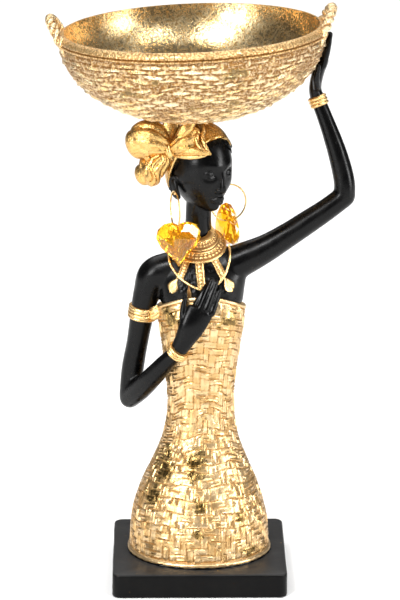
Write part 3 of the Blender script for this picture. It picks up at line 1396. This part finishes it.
UPPER_LOBE = [[-15.2, -9.8, 243.4, 2.8, 3.0], [-18.6, -9.4, 244.8, 6.8, 5.2],
              [-24.6, -7.8, 247.0, 11.0, 7.6], [-30.2, -6.6, 246.6, 11.2, 7.2],
              [-34.0, -6.0, 245.2, 8.4, 5.6]]
LOWER_LOBE = [[-15.6, -9.8, 242.0, 2.6, 2.8], [-19.4, -9.6, 238.0, 5.8, 4.8], [-24.2, -8.2, 232.6, 9.0, 6.4],
              [-28.0, -7.2, 229.8, 8.8, 6.0], [-30.2, -6.8, 228.6, 6.2, 4.6]]
FORE_FOLD = [[-14.6, -11.0, 243.6, 2.8, 3.0], [-11.0, -12.8, 245.6, 5.4, 4.2],
             [-6.4, -14.0, 247.8, 7.4, 4.6], [-2.6, -13.4, 249.0, 7.8, 3.8],
             [-0.2, -12.4, 249.8, 6.8, 2.2]]
BACK_FOLD = [[-15.4, -8.8, 246.0, 2.6, 2.6], [-15.8, -7.4, 251.6, 4.2, 3.0], [-15.0, -6.4, 256.4, 5.0, 3.0]]
TOP_FOLD = [[-9.6, -13.0, 250.0, 3.8, 3.0], [-7.0, -14.6, 255.2, 4.0, 2.8], [-4.4, -14.4, 258.6, 2.6, 2.2]]
POINT = [[-7.0, -15.4, 243.8, 3.4, 2.8], [-2.4, -17.4, 243.9, 3.0, 2.2], [2.4, -18.6, 243.4, 2.0, 1.5],
         [5.9, -19.0, 242.6, 0.6, 0.6]]
CURL = [[0.6, -8.0, 255.8, 1.3, 1.1], [2.3, -12.0, 254.2, 1.5, 1.2], [1.8, -15.0, 250.8, 1.5, 1.2],
        [3.0, -17.4, 246.8, 1.4, 1.1], [5.8, -19.0, 242.9, 0.6, 0.6]]
CURL_TWO = [[-3.0, -11.0, 255.6, 1.0, 1.0], [-1.2, -15.4, 252.8, 1.3, 1.1], [-1.4, -17.2, 249.6, 1.3, 1.1],
            [0.8, -18.6, 246.0, 1.1, 1.0], [3.8, -19.0, 243.8, 0.6, 0.6]]
ROLLED_HEM = [[-13.4, -11.6, 240.4, 1.0], [-8.0, -16.0, 240.5, 1.3], [-2.0, -18.6, 241.0, 1.3],
              [3.0, -19.2, 241.9, 0.8]]
TAIL = [[-15.4, -8.4, 241.6, 2.6, 3.4], [-15.4, -4.0, 234, 2.6, 3.4], [-13.8, -1.0, 225, 1.6, 2.2]]
wrap = cap
for cloth in (
        (UPPER_LOBE, (0, 0, 1), 11, 0.2, 58, 0.9), (LOWER_LOBE, (1, 0, 1), 9, 0.24, 52, 0.4),
        (FORE_FOLD, (0, 0, 1), 9, 0.2, 52, 0.2), (BACK_FOLD, (1, 0, -1), 6, 0.2, 30, 0.0),
        (TOP_FOLD, (1, 0, -1), 5, 0.16, 28, 0.3), (POINT, (0, 0, 1), 5, 0.14, 30, 0.6),
        (TAIL, (0, 1, 0), 4, 0.12, 24, 0.0)):
    form, deep = lobe(*cloth)
    fuse(wrap, cast("lobe", form, wrap_leaf, deep))
for stations in (CURL, CURL_TWO, ROLLED_HEM):
    fuse(wrap, cast("roll", limb(stations, 14, 26, (0, 0, 1)), wrap_leaf, 0.0, 0.8))
TIED = [[-16.6, -10.0, 247.4, 1.4, 1.8], [-16.6, -11.8, 244.6, 2.3, 2.4], [-15.8, -12.2, 241.6, 2.4, 2.4],
        [-14.8, -10.8, 238.8, 1.5, 1.8]]
knot_form = limb(TIED, 40, 20, shape=lambda angle, t: 1 + 0.14 * (gathers(angle, 8) - 0.6))
fuse(wrap, cast("knot", knot_form, wrap_leaf, 0.1, 0.8))
print("headwrap triangles:", count(wrap))

# %% [markdown]
# ## Collar, straps and drops
#
# The collar is a turned cone with ridges and two bands of granules. On a lathe the ridges would be one
# cut each, and the granules would be punched. Here one relief function does both: ridges follow the
# height, and granules are where a wave round the collar meets a wave up it.

# %% Collar
COLLAR = {"top": 7.9, "foot": 14.9, "rise": 9.6, "at": (-0.2, 0.2, 187.6), "lean": 28.0, "grains": 34}


def collar_band(share):
    """Ridge height and granule strength by the share of the way up the collar."""
    ridges = sum(np.exp(-((share - c) / w) ** 2) * h for c, w, h in (
        (0.03, 0.035, 0.9), (0.42, 0.035, 0.7), (0.55, 0.035, 0.7), (0.97, 0.035, 0.9)))
    granules = 1.0 * (((share > 0.1) & (share < 0.35)) | ((share > 0.63) & (share < 0.9)))
    return ridges, granules


def collar_form():
    shares = np.linspace(0, 1, 27)
    r = COLLAR["foot"] + (COLLAR["top"] - COLLAR["foot"]) * shares ** 0.8
    inside = [[5, COLLAR["rise"]], [5, -1.4], [COLLAR["foot"] - 1.2, -1.4]]
    profile = np.vstack([inside, np.column_stack([r, COLLAR["rise"] * shares])])
    ridges, granules = collar_band(shares)
    wave = np.sin(shares * math.pi / 0.135) ** 2
    cols = COLLAR["grains"] * 4
    dots = np.abs(np.cos(even(cols)[:, None] * COLLAR["grains"] / 2))
    lift = np.hstack([np.zeros((cols, len(inside))), (ridges + granules * wave * dots) * 0.8])
    deep = 1 - np.clip(lift / 0.6, 0, 1)
    return turned(profile, lift), deep[:, ::-1].reshape(-1)


def stand(at, way):
    """A frame whose +Z lies along a direction."""
    turn = Vector((0, 0, 1)).rotation_difference(Vector(way))
    return Matrix.Translation(Vector(at) * MM) @ turn.to_matrix().to_4x4()


lean = math.radians(COLLAR["lean"])
collar_shape, collar_deep = collar_form()
collar = cast("collar", collar_shape, trim_gilt, collar_deep, 0.6,
              stand(COLLAR["at"], (0, -math.sin(lean), math.cos(lean))))
print("collar triangles:", count(collar))

# %% [markdown]
# Everything below the collar lies on the chest, so one function lays a point of the front view onto the
# chest at a given lift. Straps have raised edges and a row of granules, drops are framed leaves, and a
# thin loop hangs over all of them from the shoulders. The ground between them is a black lace of small
# rings, cast in one with the skin.

# %% Straps and drops, laid on the chest
STRAP_ROWS = 26


def chest(x, z, lift):
    centre, wide, y, deep = follow(TORSO_ROWS, z)
    across = np.clip((x - centre) / wide, -0.98, 0.98)
    return np.stack([x, y - (deep + lift) * np.sqrt(1 - across * across), z + 0 * x], -1)


def over_shoulders(x, z, lift):
    """The front of the arms' first stretches, as y; far behind where there is no arm."""
    front = np.full(len(x), 50.0)
    for arm in (RAISED_UPPER, BENT_UPPER):
        start, end = np.array(arm[0]), np.array(arm[1])
        way = (end - start)[[0, 2, 3]]
        t = np.clip(((x - start[0]) * way[0] + (z - start[2]) * way[1]) / (way[:2] @ way[:2]), 0, 1)
        away = np.hypot(x - start[0] - t * way[0], z - start[2] - t * way[1])
        radius = start[3] + t * way[2]
        y = start[1] - lift - np.sqrt(np.maximum(radius ** 2 - away ** 2, 0))
        front = np.where(away < radius, np.minimum(front, y), front)
    return front


def strap(places, width, knobs=7, taper=np.ones_like):
    """A framed band through places given by x and z, with how deep its points lie."""
    rows = smooth_path([[x, 0, z, width] for x, z in places], STRAP_ROWS)
    way = np.gradient(rows[:, [0, 2]], axis=0)
    way /= np.linalg.norm(way, axis=1)[:, None]
    across = np.linspace(-1, 1, 11)
    share = np.linspace(0, 1, STRAP_ROWS)
    size = width * taper(share)
    x = rows[:, 0, None] + size[:, None] * across * way[:, 1, None]
    z = rows[:, 2, None] - size[:, None] * across * way[:, 0, None]
    frame_edge = np.exp(-((np.abs(across) - 0.82) / 0.16) ** 2)
    knob = np.exp(-(across / 0.36) ** 2) * np.abs(np.sin(share * math.pi * knobs))[:, None]
    lift = 0.85 + 0.3 * frame_edge + 0.32 * knob
    lift[:, [0, -1]] = 0.3
    deep = np.clip(1 - (lift - 0.8) / 0.3, 0, 1)
    form = slab(chest(x, z, lift), chest(x, z, -1.6))
    return form, np.concatenate([deep.reshape(-1), np.zeros(len(form[0]) - deep.size)])


def leaf_drop(share):
    return 0.12 + 0.88 * np.sin(math.pi * np.clip(share, 0, 1) ** 1.5) ** 0.8


STRAPS = [([[-0.1, 181], [0.6, 174], [1.4, 167.2]], 2.5),
          ([[-6.7, 181], [-8.6, 176.4], [-10.8, 171.6]], 2.1),
          ([[8, 182.4], [10.4, 177.8], [13.2, 172.6]], 2.1)]
DROPS = [([[-12.0, 171.6], [-13.8, 168.2], [-15.0, 163.6]], 2.9),
         ([[13.8, 172.4], [15.8, 168.8], [17.6, 164.4]], 2.9)]
SMALL_DROP = [[-5.6, 168.4], [-5.6, 165.4], [-5.4, 160.6]], 1.25
necklace = []
for places, width in STRAPS:
    form, deep = strap(places, width)
    necklace.append(cast("strap", form, trim_gilt, deep, 0.7))
for places, width in DROPS:
    form, deep = strap(places, width, 0, leaf_drop)
    necklace.append(cast("drop", form, trim_gilt, 0.45 * deep, 0.9))
print("straps and drops:", [count(form) for form in necklace])

# %% Thin loop and small drop
LOOP = [[-16.4, 185.5], [-16.6, 182], [-15.4, 178], [-11.6, 173.2], [-6.1, 169.4], [0.6, 166.6],
        [6.5, 167.4], [9.9, 169.2], [13.5, 173], [15.8, 178], [16.9, 183], [16.4, 187.5]]
LOOP_POINTS = 60
x, _, z, _, _ = smooth_path([[x, 0, z, 0.8] for x, z in LOOP], LOOP_POINTS).T
loop_path = chest(x, z, 0.5)
loop_path[:, 1] = np.minimum(loop_path[:, 1], over_shoulders(x, z, 0.4))
loop = limb(np.column_stack([loop_path, np.full(LOOP_POINTS, 0.72)]), 10, 60, (0, -1, 0.2), cap=2)
necklace.append(cast("loop", loop, trim_gilt, 0.0, 0.8))
small_drop, deep = strap(*SMALL_DROP, 0, leaf_drop)
necklace.append(cast("small_drop", small_drop, trim_gilt, deep, 0.8))
print("necklace forms:", len(necklace))

# %% Black lace ground
LACE_RINGS = 95


def lace_form():
    rng = np.random.default_rng(5)
    cols, rows = 60, 36
    across, up = np.linspace(-1, 1, cols), np.linspace(0, 1, rows)
    foot = 160.5 + 1.5 * np.abs(across)
    x = across * 17.5 * (1 - 0.28 * up[:, None])
    z = foot + (182 - foot) * up[:, None]
    lift = np.zeros((rows, cols))
    for _ in range(LACE_RINGS):
        cx, cz, r = rng.uniform(-17, 17), rng.uniform(160, 182), rng.uniform(0.7, 1.7)
        away = np.hypot(x - cx, z - cz)
        lift = np.maximum(lift, np.exp(-((away - r) / 0.34) ** 2))
        lift = np.maximum(lift, 0.8 * np.exp(-(away / 0.42) ** 2))
    edge = np.minimum(1, 6 * np.minimum(np.minimum(up, 1 - up)[:, None], (1 - np.abs(across)) / 2))
    top = chest(x, z, (0.15 + 0.62 * lift) * edge - 0.1)
    return slab(top[:, ::-1], chest(x, z, -1.8)[:, ::-1])


lace = cast("lace", lace_form(), skin_paint)
print("lace triangles:", count(lace))

# %% [markdown]
# ## Armband and bracelets
#
# Three ribbed rings sit square to the arm. Each is a turned ring whose ribs are lightly notched, so that
# patina collects in them. Where the armband touches the dress, the casting has a small gathered tab.

# %% Bands
CUFF_POINTS = 48


def cuff(at, along, inner, outer, width, ribs):
    heights = np.linspace(-width / 2, width / 2, 4 * ribs + 3)
    ridge = np.abs(np.sin((heights / width + 0.5) * math.pi * ribs)) ** 0.6
    skirt = np.minimum(1, 4 * (0.5 - np.abs(heights / width)) + 0.35)
    ribbed = np.column_stack([outer - 0.7 * (1 - ridge) - 0.5 * (1 - skirt), heights])
    profile = np.vstack([[inner, -width / 2], ribbed, [inner, width / 2]])
    notch = np.concatenate([[0], ridge * 0.14, [0]])
    form = turned(profile, notch * np.abs(np.sin(even(CUFF_POINTS)[:, None] * 16)))
    deep = np.tile(np.concatenate([[0], 1 - ridge, [0]])[::-1], CUFF_POINTS)
    return cast("cuff", form, trim_gilt, 0.9 * deep, 0.7, stand(at, along))


bands = [
    cuff((-30.8, 2.9, 149.0), (0.14, -0.1, 1), 4, 8.2, 7.6, 4),
    cuff((-12.0, -20.6, 132.8), (0.55, -0.36, 0.76), 2.5, 6.0, 4.6, 3),
    cuff((64.7, 4.9, 266.6), (-0.36, 0.14, 0.92), 2.5, 5.2, 6.0, 3),
]
TAB = [[-26.4, -2.6, 148.6, 3.0, 1.8], [-24.0, -4.2, 150.2, 3.6, 2.0], [-21.6, -5.4, 152.2, 3.0, 1.6]]
tab_form = limb(TAB, 36, 14, (0, 0, 1), lambda angle, t: 1 + 0.2 * (gathers(angle, 9) - 0.6))
bands.append(cast("tab", tab_form, trim_gilt, 0.3, 0.7))
print("bands and tab:", [count(band) for band in bands])

# %% [markdown]
# ## One casting
#
# Now all forms meet. Each union keeps the faces' finishes and the stored values, and leaves one closed
# skin with no hidden walls, which is what the caster's mould gives. Faces that meet at more than fifty
# degrees keep a hard edge between them, and all others are shaded smooth.

# %% Fuse the casting
HARD_EDGE = math.radians(50)
figurine = fuse(dress, hem_paint, plinth, body, lace, chest_hand, basket_hand, collar, *necklace, *bands,
                head, hair, wrap, basket)
figurine.name = figurine.data.name = "figurine_look"
figurine.data.shade_smooth()
figurine.data.set_sharp_from_angle(angle=HARD_EDGE)
print("figurine triangles:", count(figurine), "with", len(figurine.data.materials), "finishes")

# %% [markdown]
# ## Hoops and hearts
#
# The hoops are rings of thin wire, each through an ear hole. A heart bead hangs on each by a hole near
# its notch. The bead is cut like a stone: a girdle, rows of facets turned by part of a facet against each
# other, and a flat table on both faces. In the row next to each table every second corner is drawn in a
# little, so that neighbouring facets catch the light one by one. Flat shading keeps the facets hard, and
# they give clear acrylic its sparkle.

# %% Where the hoops hang
HOOP = {"radius": 10.2, "wire": 0.45}
BEAD = {"width": 25.0, "height": 25.0, "thickness": 11.6, "drop": 3.6}
EARS = {
    "left": {"hole": (-14.4, -9.8, 219.5), "heading": 104, "swing": 33, "rest": 12, "aside": 1.3, "spin": 0},
    "right": {"hole": (16.2, 10.8, 218.8), "heading": 20, "swing": 0, "rest": -9, "aside": 0, "spin": 45},
}


def ear_frame(ear):
    swing, r = math.radians(ear["swing"]), HOOP["radius"] * MM
    return (Matrix.Translation(Vector(ear["hole"]) * MM)
            @ Matrix.Rotation(math.radians(ear["heading"]), 4, "Z")
            @ Matrix.Translation((-r * math.sin(swing), 0, -r * math.cos(swing))))


def bead_turn(ear):
    rest, r = math.radians(ear["rest"]), HOOP["radius"] * MM
    return (ear_frame(ear) @ Matrix.Translation((-r * math.sin(rest), 0, -r * math.cos(rest)))
            @ Matrix.Rotation(-math.pi / 2, 4, "Z") @ Matrix.Rotation(math.radians(ear["spin"]), 4, "Y")
            @ Matrix.Translation((ear["aside"] * MM, 0, (BEAD["drop"] - BEAD["height"] / 2) * MM)))


for side, ear in EARS.items():
    print("heart", side, "hangs at", [round(v / MM, 1) for v in bead_turn(ear).translation], "mm")

# %% Hoops and hearts


def hoop_form(wire, sides=14, steps=120):
    a, b = even(steps)[:, None], even(sides)[None]
    r = HOOP["radius"] + wire * np.cos(b)
    points = np.stack([r * np.cos(a), wire * np.sin(b) + 0 * a, r * np.sin(a)], -1)
    return closed_grid(points)


def heart(shares):
    t = 2 * math.pi * shares
    x = np.sin(t) ** 3
    y = (13 * np.cos(t) - 3.4 * np.cos(2 * t) - 1.2 * np.cos(3 * t) - 0.4 * np.cos(4 * t) + 2.6) / 13
    return x * BEAD["width"] / 2, y * BEAD["height"] / 2


def bead_form():
    """Rings of facets: how many, how big, how deep, turned by what part of a facet, and how uneven."""
    half = BEAD["thickness"] / 2
    rings = []
    for facets, size, depth, shift, uneven in (
            (10, 0.38, -1.0, 0, 0), (10, 0.72, -0.8, 0.5, 0.1), (20, 0.94, -0.38, 0.25, 0),
            (20, 1.0, 0.0, 0.75, 0), (20, 0.94, 0.36, 0.25, 0), (10, 0.68, 0.74, 0.5, 0.14),
            (10, 0.3, 1.0, 0, 0)):
        x, z = heart((np.arange(facets) + shift) / facets)
        size = size * (1 - uneven * (np.arange(facets) % 2))
        points = np.stack([x * size, depth * half + 0 * x, z * size + 0.4 * (1 - size)], -1)
        rings.append((even(facets) + shift * 2 * math.pi / facets, points))
    return skin(rings, (0, -half, 0.2), (0, half, 0.2))


looks = [(figurine, "figurine", "painted_resin")]
for side, ear in EARS.items():
    hoop = cast(f"hoop_{side}_look", hoop_form(HOOP["wire"]), wire_gold, turn=ear_frame(ear))
    hoop.data.shade_smooth()
    bead = cast(f"bead_{side}_look", bead_form(), amber, turn=bead_turn(ear))
    bore = hoop_form(HOOP["wire"] + 0.35, 12, 72)
    fuse(bead, cast("bore", bore, amber, turn=ear_frame(ear)), operation="DIFFERENCE")
    bead.data.shade_flat()
    looks += [(hoop, f"earring_hoop_{side}", "gilt_wire"), (bead, f"heart_bead_{side}", "amber_acrylic")]
    print(side, "hoop and bead:", count(hoop), count(bead))

# %% [markdown]
# ## Handing over
#
# Each piece rides on the one body, stands for its measured solid and takes its finish from that solid's
# slot. The two boxes show that the dressed figurine is no bigger than the measured one.

# %% Hand the pieces to the frame
for piece, node, slot in looks:
    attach(piece, "root")
    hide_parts(node)
